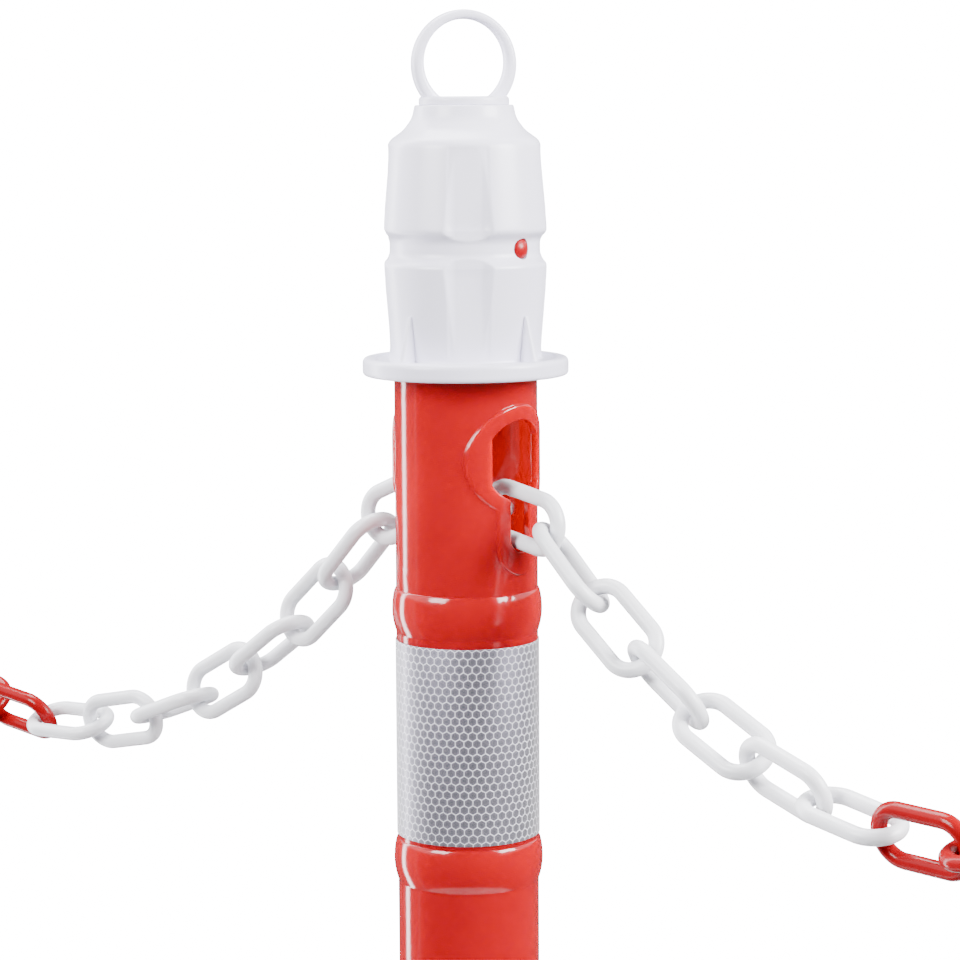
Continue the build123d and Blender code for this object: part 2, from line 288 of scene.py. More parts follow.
# %% Wall profile
SEAT = 819.0
POST_RADIUS, BORE_RADIUS = 36.0, 33.0
NECK_RADIUS, NECK_BORE, NECK_TOP = 34.1, 31.1, 923.0
NECK_FOOT_REACH, NECK_END_REACH, INSIDE_STEP = 20, 10, 3
FOOT_RADIUS, FOOT_THICKNESS, FOOT_ROWS_TOP = 58.0, 7.0, 60
INSIDE_ROWS = (690, 420)
BAND_WIDTH, BAND_DROPS = 100.0, (134.0, 404.0)
ROLL_BELOW, ROLL_ABOVE, ROLL_HEIGHT, ROLL_RISE = 2.2, 4.0, 22.3, 2.05
ROLL_POWER_LOW, ROLL_POWER_HIGH, ROLL_ROWS, ROLL_MARGIN = 1.05, 0.6, 34, 0.7
TUBE_COLUMNS = 96

roll_feet = [SEAT - drop + side for drop in reversed(BAND_DROPS)
             for side in (-BAND_WIDTH - ROLL_BELOW - ROLL_HEIGHT, ROLL_ABOVE)]


def roll_rows(foot):
    """One roll: rise times a power of (1 - u squared), u running from -1 at its foot to 1 at its top. The
    power is smaller above the crest, so the top line is the crisper one. A row just beyond each end keeps
    the roll's bend out of the shading of the long straight wall."""
    u = -np.cos(np.linspace(0, np.pi, ROLL_ROWS))
    rise = np.maximum(1 - u**2, 0) ** np.where(u < 0, ROLL_POWER_LOW, ROLL_POWER_HIGH)
    rows = np.stack([POST_RADIUS + ROLL_RISE * rise, foot + ROLL_HEIGHT * (u + 1) / 2], axis=1)
    return np.concatenate([rows[:1] - [0, ROLL_MARGIN], rows, rows[-1:] + [0, ROLL_MARGIN]])


ZONE_ROWS, ZONE_LOW, ZONE_HIGH = 36, 712.0, 815.0
CATCH_ROWS, CATCH_LOW, CATCH_HIGH = 10, 874.0, 892.0
zone = np.linspace(ZONE_LOW, ZONE_HIGH, ZONE_ROWS + 1)
catch = np.linspace(CATCH_LOW, CATCH_HIGH, CATCH_ROWS + 1)


def upright(radius, heights):
    """Rows of one radius at the given heights."""
    return np.stack([np.full(len(heights), radius), heights], axis=1)


foot_rows = soften([(0, 0, 0), (FOOT_RADIUS, 0, 1), (FOOT_RADIUS, FOOT_THICKNESS, 1),
                    (POST_RADIUS, FOOT_THICKNESS, 2), (POST_RADIUS, FOOT_ROWS_TOP, 0)])
neck_foot = soften([(POST_RADIUS, ZONE_HIGH + 1, 0), (POST_RADIUS, SEAT, 0.5), (NECK_RADIUS, SEAT, 0.3),
                    (NECK_RADIUS, SEAT + NECK_FOOT_REACH, 0)])
neck_end = soften([(NECK_RADIUS, NECK_TOP - NECK_END_REACH, 0), (NECK_RADIUS, NECK_TOP, 0.8),
                   (NECK_BORE, NECK_TOP, 0.8), (NECK_BORE, NECK_TOP - NECK_END_REACH, 0)])
inside_step = np.array([(NECK_BORE, SEAT), (BORE_RADIUS, SEAT - INSIDE_STEP)])
inside_floor = np.array([*[(BORE_RADIUS, height) for height in INSIDE_ROWS],
                         (BORE_RADIUS, FOOT_THICKNESS), (0, FOOT_THICKNESS)])
sections = [foot_rows, *[roll_rows(foot) for foot in roll_feet], upright(POST_RADIUS, zone), neck_foot,
            upright(NECK_RADIUS, catch), neck_end, upright(NECK_BORE, catch[::-1]), inside_step,
            upright(BORE_RADIUS, zone[::-1]), inside_floor]
section_starts = np.cumsum([0] + [len(rows) for rows in sections])
wall = np.concatenate(sections)
print("wall profile:", len(wall), "rows, rolls from", [round(foot, 1) for foot in roll_feet])

# %% [markdown]
# ## Post tube: its openings
# Two keyholes with a raised pad round each, and two small holes for the spring catch, go through the
# wall. A boolean cut would leave long thin faces round a curved edge. Instead a window is left out of
# the turned sheet and filled with rings that pass from its border, over the pad and the rounded rim,
# through the wall and back out to the same window on the inside.

# %% Windows and rings
def both_sides(side, height):
    """A loop from its right half, which runs from top to bottom: the left half mirrors it."""
    return (np.concatenate([side, -side[-2:0:-1]]), np.concatenate([height, height[-2:0:-1]]))


def window_loop(step, columns, heights):
    """The border of a window: along the top, down the side and back along the bottom, then mirrored."""
    turn = np.arange(columns + 1) * step
    half_turn = np.concatenate([turn, np.full(len(heights) - 2, turn[-1]), turn[::-1]])
    half_height = np.concatenate([np.full(columns + 1, heights[-1]), heights[-2:0:-1],
                                  np.full(columns + 1, heights[0])])
    return both_sides(half_turn, half_height)


def keyhole_half(radius, half_width, slot_half, drop, counts):
    """Right half of a keyhole as pieces with counts of steps: arc, side, arc, slot side, slot end."""
    first = np.arcsin(min(half_width / radius, 1.0))
    last = np.pi - np.arcsin(slot_half / radius)
    upper = np.linspace(0, first, counts[0] + 1)
    lower = np.linspace(np.pi - first, last, counts[2] + 1)
    end = np.linspace(np.pi / 2, np.pi, counts[4] + 1)
    side = np.linspace(radius * np.cos(first), -radius * np.cos(first), counts[1] + 1)
    slot = np.linspace(radius * np.cos(last), -drop, counts[3] + 1)
    y = [radius * np.sin(upper), np.full(counts[1], half_width), radius * np.sin(lower[1:]),
         np.full(counts[3], slot_half), slot_half * np.sin(end[1:])]
    z = [radius * np.cos(upper), side[1:], radius * np.cos(lower[1:]), slot[1:],
         -drop + slot_half * np.cos(end[1:])]
    return np.concatenate(y), np.concatenate(z)


def ring_at(side, height, radius):
    """A loop drawn flat, side by height, and pushed straight onto the cylinder of that radius."""
    return np.stack([np.arcsin(side / radius), np.full(len(side), radius), height], axis=1)


def rings_between(first, last, shares):
    """Rings at shares of the way from one to another, in turn, radius and height."""
    return first + np.asarray(shares)[:, None, None] * (last - first)


def facing(rings, turn):
    """Rings of (turn, radius, height) as points, turned round the post."""
    return placed(rings[..., 0] + turn, rings[..., 1], rings[..., 2])


# %% Keyholes with their pads
KEYHOLE_HEIGHT = SEAT - 40.8
HOLE_RADIUS, HOLE_HALF_WIDTH, SLOT_HALF_WIDTH, SLOT_DROP = 20.3, 16.7, 7.0, 38.4
PAD_RADIUS, PAD_SLOT_HALF_WIDTH, PAD_SLOT_DROP, PAD_FACE = 27.9, 14.2, 43.3, 37.3
HOLE_COUNTS, PAD_COUNTS, ROUND_STEPS, WINDOW_STEPS = (19, 21, 13, 23, 8), (40, 0, 11, 18, 15), 5, 8
RIM, INNER_RIM, PAD_ROUND, PAD_FOOT, PAD_FOOT_RISE = 1.0, 0.6, 1.0, 0.5, 0.3


def hole_ring(out, radius):
    """The keyhole's outline, out millimetres wider all round, on a radius."""
    side, height = both_sides(*keyhole_half(HOLE_RADIUS + out, HOLE_HALF_WIDTH + out, SLOT_HALF_WIDTH + out,
                                            SLOT_DROP, HOLE_COUNTS))
    return ring_at(side, height + KEYHOLE_HEIGHT, radius)


def pad_ring(out, radius):
    """The pad's outline, a rounder and wider keyhole, on a radius."""
    side, height = both_sides(*keyhole_half(PAD_RADIUS + out, PAD_RADIUS + out, PAD_SLOT_HALF_WIDTH + out,
                                            PAD_SLOT_DROP, PAD_COUNTS))
    return ring_at(side, height + KEYHOLE_HEIGHT, radius)


tube_step = 2 * np.pi / TUBE_COLUMNS
border_turn, border_height = window_loop(tube_step, TUBE_COLUMNS // 4, zone)
outer_border = np.stack([border_turn, np.full(len(border_turn), POST_RADIUS), border_height], axis=1)
inner_border = outer_border * [1, 0, 1] + [0, BORE_RADIUS, 0]
quarter = np.linspace(0, np.pi / 2, ROUND_STEPS + 1)
pad_edge = [pad_ring(PAD_ROUND * (np.sin(a) - 1), PAD_FACE - PAD_ROUND * (1 - np.cos(a))) for a in quarter]
pad_fillet = [pad_ring(PAD_FOOT * (1 - np.cos(a)), POST_RADIUS + PAD_FOOT_RISE * (1 - np.sin(a)))
              for a in quarter]
rim = [hole_ring(RIM * (1 - np.cos(a)), PAD_FACE - RIM * (1 - np.sin(a))) for a in quarter]
inner_rim = [hole_ring(INNER_RIM * (1 - np.sin(a)), BORE_RADIUS + INNER_RIM * (1 - np.cos(a)))
             for a in quarter]
outward = np.linspace(0, 1, WINDOW_STEPS + 1)
keyhole = np.concatenate([
    rings_between(outer_border, pad_fillet[-1], outward[:-1]), np.array(pad_fillet[::-1]),
    np.array(pad_edge[::-1]), rings_between(pad_edge[0], rim[-1], (0.33, 0.67)), np.array(rim[::-1]),
    rings_between(rim[0], inner_rim[-1], (0.3, 0.7)), np.array(inner_rim[::-1]),
    rings_between(inner_rim[0], inner_border, outward[1:]),
])
print("keyhole rings:", keyhole.shape[:2])


# %% Catch holes in the neck, and the whole tube
def round_ring(radius, level, count, out):
    """A round hole seen from +X, on the cylinder of radius out, from its top right round to its left."""
    turn = np.linspace(0, np.pi, count + 1)
    side, height = both_sides(radius * np.sin(turn), radius * np.cos(turn))
    return ring_at(side, height + level, out)


BUTTON_LEVEL, BUTTON_HOLE, CATCH_COLUMNS = SEAT + 64.0, 5.2, 5
catch_turn, catch_height = window_loop(tube_step, CATCH_COLUMNS, catch)
catch_border = np.stack([catch_turn, np.full(len(catch_turn), NECK_RADIUS), catch_height], axis=1)
catch_outer = round_ring(BUTTON_HOLE, BUTTON_LEVEL, len(catch_turn) // 2, NECK_RADIUS)
catch_inner = round_ring(BUTTON_HOLE, BUTTON_LEVEL, len(catch_turn) // 2, NECK_BORE)
catch_hole = np.concatenate([
    rings_between(catch_border, catch_outer, (0, 0.5, 1)),
    rings_between(catch_inner, catch_border * [1, 0, 1] + [0, NECK_BORE, 0], (0, 0.5, 1)),
])

keep = np.ones((len(wall) - 1, TUBE_COLUMNS), bool)
names = ("foot", *roll_feet, "zone", "neck_foot", "catch", "neck_end", "catch_in", "step", "zone_in", "floor")
row_of = dict(zip(names, section_starts))
for name in ("zone", "zone_in"):
    keep[row_of[name]:row_of[name] + ZONE_ROWS] = False
near = np.r_[-CATCH_COLUMNS:CATCH_COLUMNS]
for name in ("catch", "catch_in"):
    rows = np.arange(row_of[name], row_of[name] + CATCH_ROWS)
    keep[np.ix_(rows, near)] = False
    keep[np.ix_(rows, near + TUBE_COLUMNS // 2)] = False
tube_sheets = [sheet_of(turned(wall, TUBE_COLUMNS), keep=keep)]
for turn in (0, np.pi):
    tube_sheets += [sheet_of(facing(keyhole, turn)), sheet_of(facing(catch_hole, turn))]
wear(weld("post_tube_moulding", tube_sheets), "post", "post_tube", red_tube)

# %% [markdown]
# ## Reflective film
# Each band is a thin film with a honeycomb of sealed walls, each cell holding tiny mirrors that throw
# light back. A picture of it would blur close up and would not meet itself round the post, so the cells
# are a sum: the film carries its own map, in cell widths along and up, and the distance to the nearest
# cell centre, measured in the six-sided way, tells wall from cell.

# %% Honeycomb finish
CELLS_ROUND = 53
FILM_RADIUS, FILM_THICKNESS, FILM_COLUMNS = 36.1, 0.4, 144
WALL_START, WALL_FULL, CELL_EDGE = 0.442, 0.464, 0.42
GLINT_GRAIN, GLINT_SHARE, GLINT_BUMP, FILM_RELIEF = 2600, 0.7, 0.15, 0.05 * MM
CELL = 2 * np.pi * (FILM_RADIUS + FILM_THICKNESS) / CELLS_ROUND


def honeycomb(x, y):
    """Six-sided distance to the nearest cell centre, 0 to 0.5. The centres are two plain grids, one
    shifted by half a step, and the nearer of the two counts."""
    tall = float(np.sqrt(3))

    def from_grid(shift):
        across = ((x + shift).sum("FLOORED_MODULO", x + shift, 1.0) - 0.5)
        up = ((y + shift * tall).sum("FLOORED_MODULO", y + shift * tall, tall) - tall / 2)
        across, up = across.sum("ABSOLUTE", across), up.sum("ABSOLUTE", up)
        return x.sum("MAXIMUM", across, across * 0.5 + up * (tall / 2))

    return x.sum("MINIMUM", from_grid(0.0), from_grid(0.5))


film_finish, flow = new_finish("honeycomb_film")
film_map = flow.node("ShaderNodeUVMap", {"uv_map": "film"})
along = film_map.node("ShaderNodeSeparateXYZ", None, {0: film_map}, 0)
up = film_map.node("ShaderNodeSeparateXYZ", None, {0: film_map}, 1)
cells = honeycomb(along, up)
walls = cells.ease(WALL_START, WALL_FULL)
where = flow.node("ShaderNodeTexCoord", out="Object")
glint = where.grain(GLINT_GRAIN, 1).ease(0.35, 0.7)
sparkle = GLINT_SHARE * glint + (1 - GLINT_SHARE) * cells.ease(0.0, CELL_EDGE)
tint = sparkle.between(colour(97, 95, 107), colour(148, 144, 160))
close_finish(flow, walls + GLINT_BUMP * glint, FILM_RELIEF, {
    "Base Color": walls.between(tint, colour(222, 220, 230)),
    "Roughness": 0.45 - 0.06 * walls,
    "Metallic": 0.9 - 0.85 * walls,
    "Sheen Weight": 0.9, "Sheen Roughness": 0.5, "Coat Weight": 0.2, "Coat Roughness": 0.1,
})
print("film cells round the post:", CELLS_ROUND, "cell:", round(CELL, 2), "mm")

# %% Film bands
def film_band(name, node, bottom):
    """A thin ring of film turned about the axis. Its map counts cell widths along and up, and on the face
    that closes the ring the turn runs on past a full one, so no cell is torn there."""
    top = bottom + BAND_WIDTH
    outer = FILM_RADIUS + FILM_THICKNESS
    rows = soften([(FILM_RADIUS, bottom, 0), (outer, bottom, 0.15), (outer, top, 0.15),
                   (FILM_RADIUS, top, 0.1), (FILM_RADIUS, bottom, 0)], 4)
    piece = weld(name, [sheet_of(turned(rows, FILM_COLUMNS))])
    mesh = piece.data
    spots = np.empty(len(mesh.vertices) * 3)
    mesh.vertices.foreach_get("co", spots)
    spots = spots.reshape(-1, 3)
    owner = np.empty(len(mesh.loops), int)
    mesh.loops.foreach_get("vertex_index", owner)
    share = np.arctan2(spots[owner, 1], spots[owner, 0]) / (2 * np.pi)
    sizes = np.empty(len(mesh.polygons), int)
    mesh.polygons.foreach_get("loop_total", sizes)
    face = np.repeat(np.arange(len(sizes)), sizes)
    widest = np.full(len(sizes), -1.0)
    np.maximum.at(widest, face, share)
    share = np.where(widest[face] - share > 0.5, share + 1, share)
    film = np.stack([share * CELLS_ROUND, (spots[owner, 2] / MM - bottom) / CELL], axis=1)
    mesh.uv_layers.new(name="film").data.foreach_set("uv", film.ravel())
    wear(piece, "post", node, film_finish)


for place, drop in zip(("upper", "lower"), BAND_DROPS):
    film_band(f"{place}_film", f"{place}_reflective_band", SEAT - drop - BAND_WIDTH)

# %% [markdown]
# ## Cap
# The cap is a satin white moulding with a dished flange, a groove for the catch, four shallow flutes
# between four thin gussets, and a shoulder that sweeps in to the crown. The body is turned like the
# tube. The flutes are then taken off it as a smooth smaller-of-two between the turned radius and the
# flute's own flat-bottomed outline, which rounds their edges as a mould does.

# %% Cap wall
CAP_BORE, CAP_TOP, CAP_COLUMNS, CAP_ROW_STEP = 34.4, SEAT + 134.4, 384, 2.4
FLANGE_RADIUS, FLANGE_TOP, DISH_TOP, BODY_LOW = 51.7, SEAT + 9.2, SEAT + 8.3, SEAT + 9.4
ROOT_RADIUS, LIP_RADIUS, GROOVE_RADIUS, SHOULDER_RADIUS, CROWN_RADIUS = 38.2, 42.2, 37.6, 38.1, 24.6
FLUTE_FLOOR, FLUTE_HALF, FLUTE_SLOPE, FLUTE_SIDE = 38.2, 7.6, 6.0 / 14.6, 10.0
FLUTE_BLEND, FLUTE_FLOOR_BLEND, STEP_DEPTH, STEP_SPREAD = 0.4, 0.8, 0.45, 0.6
LOWER_WALL, UPPER_WALL = (10, 13, 52, 55), (73, 76, 112, 116)
outer_cap = divide(soften([
    (CAP_BORE, SEAT, 0), (FLANGE_RADIUS, SEAT, 2.4), (FLANGE_RADIUS, FLANGE_TOP, 3.6), (45.5, FLANGE_TOP, 1.6),
    (44.5, DISH_TOP, 0.6), (ROOT_RADIUS, DISH_TOP, 1.6), (LIP_RADIUS, SEAT + 55.9, 1.7),
    (GROOVE_RADIUS, SEAT + 60.1, 2.2), (GROOVE_RADIUS, SEAT + 68.1, 2.2), (LIP_RADIUS, SEAT + 72.3, 1.7),
    (SHOULDER_RADIUS, SEAT + 116.5, 3.4), (30.4, SEAT + 121.9, 2.6), (26.0, SEAT + 127.8, 2.6),
    (CROWN_RADIUS, CAP_TOP, 1.0), (0, CAP_TOP, 0),
], 8), CAP_ROW_STEP)


def smaller(first, second, blend):
    """The smaller of two values, rounded over where they are within blend of each other."""
    near = np.clip(0.5 + (second - first) / (2 * blend), 0, 1)
    return second + (first - second) * near - blend * near * (1 - near) / 2


def flute_outline(turn):
    """Radius of the flute at a turn: a flat floor across its middle and a straight flank each side."""
    off = (turn % (np.pi / 2)) - np.pi / 4
    flank = (FLUTE_FLOOR - FLUTE_SLOPE * FLUTE_HALF) / (np.cos(off) - FLUTE_SLOPE * np.abs(np.sin(off)))
    return -smaller(-FLUTE_FLOOR / np.cos(off), -flank, FLUTE_FLOOR_BLEND)


def smooth(value, low, high):
    """Eases from 0 to 1 while the value goes from low to high, 3 t squared - 2 t cubed."""
    t = np.clip((value - low) / (high - low), 0, 1)
    return t * t * (3 - 2 * t)


def flute_step(turn):
    """1 inside a flute and 0 outside it: the small step that draws the flute's two side lines."""
    off = np.abs((turn % (np.pi / 2)) - np.pi / 4) * FLUTE_FLOOR
    return 1 - smooth(off, FLUTE_SIDE - STEP_SPREAD, FLUTE_SIDE + STEP_SPREAD)


def on_wall(height, fades):
    """1 on a tapered wall of the cap's body. The fades are where it sets in, is full, gives way and ends."""
    return smooth(height, *fades[:2]) * (1 - smooth(height, *fades[2:]))


cap_turn = np.arange(CAP_COLUMNS) * 2 * np.pi / CAP_COLUMNS
cap_radius = np.repeat(outer_cap[:, :1], CAP_COLUMNS, axis=1)
on_body = outer_cap[:, 1] > BODY_LOW
cap_radius[on_body] = smaller(cap_radius[on_body], flute_outline(cap_turn)[None], FLUTE_BLEND)
above_seat = outer_cap[:, 1:] - SEAT
cap_radius -= STEP_DEPTH * flute_step(cap_turn)[None] * (on_wall(above_seat, LOWER_WALL)
                                                         + on_wall(above_seat, UPPER_WALL))
cap_outside = placed(cap_turn[None], cap_radius, outer_cap[:, 1:])
deepest = float((outer_cap[:, :1] - cap_radius).max())
print("cap wall:", cap_outside.shape[:2], "flutes cut up to", round(deepest, 2), "mm")

# %% Catch holes in the groove, and the cap's inside
GROOVE_LOW, GROOVE_HIGH, GROOVE_COLUMNS = SEAT + 56.8, SEAT + 71.4, 13
PLUG_RADIUS, PLUG_LOW, CROWN_WALL, NECK_ROOM = 21.2, SEAT + 124.4, 3.4, 0.3
groove = np.flatnonzero((outer_cap[:, 1] > GROOVE_LOW) & (outer_cap[:, 1] < GROOVE_HIGH))
groove_heights = outer_cap[groove, 1]
cap_step = 2 * np.pi / CAP_COLUMNS
groove_turn, groove_height = window_loop(cap_step, GROOVE_COLUMNS, groove_heights)


def on_groove(rings):
    """Rings set onto the turned face of the groove, by height."""
    fitted = rings.copy()
    fitted[..., 1] = np.interp(rings[..., 2], groove_heights, outer_cap[groove, 0])
    return fitted


groove_border = on_groove(np.stack([groove_turn, 0 * groove_turn, groove_height], axis=1))
groove_hole = round_ring(BUTTON_HOLE, BUTTON_LEVEL, len(groove_turn) // 2, GROOVE_RADIUS)
bore_hole = round_ring(BUTTON_HOLE, BUTTON_LEVEL, len(groove_turn) // 2, CAP_BORE)
catch_window = np.concatenate([
    on_groove(rings_between(groove_border, groove_hole, (0, 0.3, 0.6, 0.85, 1))),
    rings_between(bore_hole, groove_border * [1, 0, 1] + [0, CAP_BORE, 0], (0, 0.5, 1)),
])
ceiling = [(0, CAP_TOP - CROWN_WALL), (PLUG_RADIUS, CAP_TOP - CROWN_WALL), (PLUG_RADIUS, PLUG_LOW),
           (CAP_BORE, NECK_TOP + NECK_ROOM)]
inner_cap = np.concatenate([ceiling, upright(CAP_BORE, groove_heights[::-1]), [(CAP_BORE, SEAT)]])
cap_inside = turned(inner_cap, CAP_COLUMNS)
keep_out = np.ones((len(outer_cap) - 1, CAP_COLUMNS), bool)
keep_in = np.ones((len(inner_cap) - 1, CAP_COLUMNS), bool)
near = np.r_[-GROOVE_COLUMNS:GROOVE_COLUMNS]
for columns in (near, near + CAP_COLUMNS // 2):
    keep_out[np.ix_(groove[:-1], columns)] = False
    keep_in[np.ix_(len(ceiling) + np.arange(len(groove) - 1), columns)] = False
cap_sheets = [sheet_of(cap_outside, keep=keep_out), sheet_of(cap_inside, keep=keep_in)]
cap_sheets += [sheet_of(facing(catch_window, turn)) for turn in (0, np.pi)]
print("groove rows:", len(groove), "ring of", len(groove_turn))


# %% Gussets
GUSSET_INNER, GUSSET_FOOT, GUSSET_TIP, GUSSET_POWER = 35.6, 47.5, 41.3, 0.42
GUSSET_HALF_FOOT, GUSSET_HALF_TIP, GUSSET_LOW, GUSSET_RISE = 1.8, 1.2, SEAT + 8.2, 22.8
GUSSET_ROWS, GUSSET_COLUMNS = 15, 40


def power(value, exponent):
    """A signed power, which squares off a circle."""
    return np.sign(value) * np.abs(value) ** exponent


def gusset(turn):
    """A thin three-cornered web: square-round sections that shrink from foot to tip as they rise."""
    share = np.concatenate([[0], np.linspace(0, 1, GUSSET_ROWS), [1]])[:, None]
    size = np.concatenate([[0], np.ones(GUSSET_ROWS), [0]])[:, None]
    around = np.linspace(0, 2 * np.pi, GUSSET_COLUMNS, endpoint=False)[None]
    outer = GUSSET_FOOT + (GUSSET_TIP - GUSSET_FOOT) * share
    half = GUSSET_HALF_FOOT + (GUSSET_HALF_TIP - GUSSET_HALF_FOOT) * share
    x = (GUSSET_INNER + outer) / 2 + size * (outer - GUSSET_INNER) / 2 * power(np.cos(around), GUSSET_POWER)
    y = size * half * power(np.sin(around), GUSSET_POWER)
    z = GUSSET_LOW + GUSSET_RISE * share + 0 * around
    return np.stack([x * np.cos(turn) - y * np.sin(turn), x * np.sin(turn) + y * np.cos(turn), z], axis=-1)


cap_sheets += [sheet_of(gusset(quarter_turn * np.pi / 2)) for quarter_turn in range(4)]
wear(weld("cap_moulding", cap_sheets, crease=45), "post", "cap_shell", white_cap)

# %% [markdown]
# ## Lifting ring
# The eye on top is thicker where it meets its disc than at its top, so its hole is off centre in it.
# A torus has one thickness all round. Here a square-round section is carried along the eye, and its
# width comes from the two circles that bound it.

# %% Eye and disc
EYE_OUTER, EYE_INNER, EYE_DEPTH, EYE_SINK, EYE_ROOT = 27.0, 21.1, 8.4, 7.1, 0.4
EYE_POWER, EYE_TURN, HOLE_RISE = 0.72, np.radians(60), 1.1
EYE_HEIGHT = CAP_TOP - EYE_SINK + EYE_OUTER
HOLE_HEIGHT = EYE_HEIGHT + HOLE_RISE
DISC_RADIUS, DISC_THICKNESS = 22.5, 4.2
EYE_ROWS, EYE_COLUMNS, DISC_COLUMNS = 168, 36, 128


def eye():
    """Section points from the hole's edge to the outer edge, at each angle round the hole's centre."""
    angle = np.linspace(0, 2 * np.pi, EYE_ROWS, endpoint=False)[:, None]
    section = np.linspace(0, 2 * np.pi, EYE_COLUMNS, endpoint=False)[None]
    shift = HOLE_HEIGHT - EYE_HEIGHT
    outer = -shift * np.sin(angle) + np.sqrt(EYE_OUTER**2 - (shift * np.cos(angle)) ** 2)
    middle, half = (outer + EYE_INNER) / 2, (outer - EYE_INNER) / 2
    reach = middle + half * power(np.cos(section), EYE_POWER)
    depth = EYE_DEPTH / 2 * power(np.sin(section), EYE_POWER) + 0 * angle
    side = reach * np.cos(angle)
    height = np.maximum(HOLE_HEIGHT + reach * np.sin(angle), CAP_TOP + EYE_ROOT)
    return np.stack([side * np.cos(EYE_TURN) + depth * np.sin(EYE_TURN),
                     side * np.sin(EYE_TURN) - depth * np.cos(EYE_TURN), height], axis=-1)


eye_points = eye()
eye_sheet = sheet_of(np.concatenate([eye_points, eye_points[:1]]))
disc_rows = soften([(0, CAP_TOP, 0), (DISC_RADIUS, CAP_TOP, 0.6),
                    (DISC_RADIUS, CAP_TOP + DISC_THICKNESS, 2.0), (0, CAP_TOP + DISC_THICKNESS, 0)])
wear(weld("lifting_eye", [eye_sheet, sheet_of(turned(disc_rows, DISC_COLUMNS))], crease=50),
     "post", "lifting_ring", white_cap)

# %% [markdown]
# ## Buttons
# A red button on each side springs out through the cap's groove. It is a short pin with a low dome,
# turned about its own axis rather than the post's, so it slides straight in when pressed.

# %% Catch buttons
BUTTON_RADIUS, BUTTON_BACK, BUTTON_REACH, BUTTON_COLUMNS = 4.9, 30.77, 39.7, 56
DOME_FOOT, DOME_BEND, DOME_BEND_RADIUS = BUTTON_REACH - 2.0, BUTTON_REACH - 0.5, 2.6


def catch_button(side):
    """A pin's profile, (radius, distance out), turned about the X axis and pointed to one side."""
    rows = soften([(0, BUTTON_BACK, 0), (BUTTON_RADIUS, BUTTON_BACK, 0.4), (BUTTON_RADIUS, DOME_FOOT, 0.9),
                   (DOME_BEND_RADIUS, DOME_BEND, 1.2), (0, BUTTON_REACH, 0)])
    pin = turned(rows, BUTTON_COLUMNS)
    return np.stack([side * pin[..., 2], side * pin[..., 1], BUTTON_LEVEL + pin[..., 0]], axis=-1)


for place, side in (("right", 1), ("left", -1)):
    wear(weld(f"catch_button_{place}", [sheet_of(catch_button(side))]),
         f"button_{place}", f"lock_button_{place}", red_button)

# %% [markdown]
# ## Chain
# Each link is a loop of round plastic wire. The solids draw it with flat sides to stay light, and
# their corners still tell where the link lies: their mean is its centre, and the three main
# directions of the cloud are its length, its width and the way through it. A circle carried along
# the oval in those directions gives the smooth link.

# %% Links
LINK_REACH, BOW_RADIUS, WIRE_RADIUS = 24.85, 12.5, 3.9
BOW_STEPS, BAR_STEPS, WIRE_COLUMNS = 32, 8, 24


def link_axes(node):
    """Centre and main directions of a link's corners, longest first, in millimetres."""
    corners = np.empty(len(node.data.vertices) * 3)
    node.data.vertices.foreach_get("co", corners)
    corners = np.unique(corners.reshape(-1, 3).round(6), axis=0) / MM
    centre = corners.mean(axis=0)
    return centre, np.linalg.svd(corners - centre, full_matrices=False)[2]


def oval_path():
    """The wire's middle line: two straight bars and two half circles, with the way out at each point."""
    bow = np.linspace(-np.pi / 2, np.pi / 2, BOW_STEPS + 1)[:-1]
    bar = np.linspace(1, -1, BAR_STEPS + 1)[:-1]
    half_bar = LINK_REACH - BOW_RADIUS
    half_x = np.concatenate([half_bar + BOW_RADIUS * np.cos(bow), half_bar * bar])
    half_y = np.concatenate([BOW_RADIUS * np.sin(bow), np.full(BAR_STEPS, BOW_RADIUS)])
    out_x = np.concatenate([np.cos(bow), np.zeros(BAR_STEPS)])
    out_y = np.concatenate([np.sin(bow), np.ones(BAR_STEPS)])
    return (np.concatenate([half_x, -half_x]), np.concatenate([half_y, -half_y]),
            np.concatenate([out_x, -out_x]), np.concatenate([out_y, -out_y]))


def smooth_link(node):
    """A circle of the wire's radius carried along the oval, laid along the link's own directions."""
    centre, (length, width, through) = link_axes(node)
    x, y, out_x, out_y = (part[:, None] for part in oval_path())
    around = np.linspace(0, 2 * np.pi, WIRE_COLUMNS, endpoint=False)[None]
    out = WIRE_RADIUS * np.cos(around)
    across = (x + out * out_x)[..., None] * length + (y + out * out_y)[..., None] * width
    points = centre + across + (WIRE_RADIUS * np.sin(around) + 0 * x)[..., None] * through
    return np.concatenate([points, points[:1]])


slot_of = {part["node"]: part["material_slot"] for part in frame["record"]["subparts"]}
body_of = {node: body for body, nodes in frame["record"]["behaviour"]["bodies"].items() for node in nodes}
chain_finish = {"white_chain": white_chain, "red_chain": red_chain}
for name in sorted(node for node in frame["nodes"] if node.startswith("chain_link_")):
    link = weld(name.replace("chain_link", "link"), [sheet_of(smooth_link(frame["nodes"][name]))])
    wear(link, body_of[name], name, chain_finish[slot_of[name]])

# %% [markdown]
# ## Rubber base
# This solid already has the right shape, so it stays and only gets a finish. The base is pressed from
# rubber crumb: dark grains of several sizes with a few paler ones.

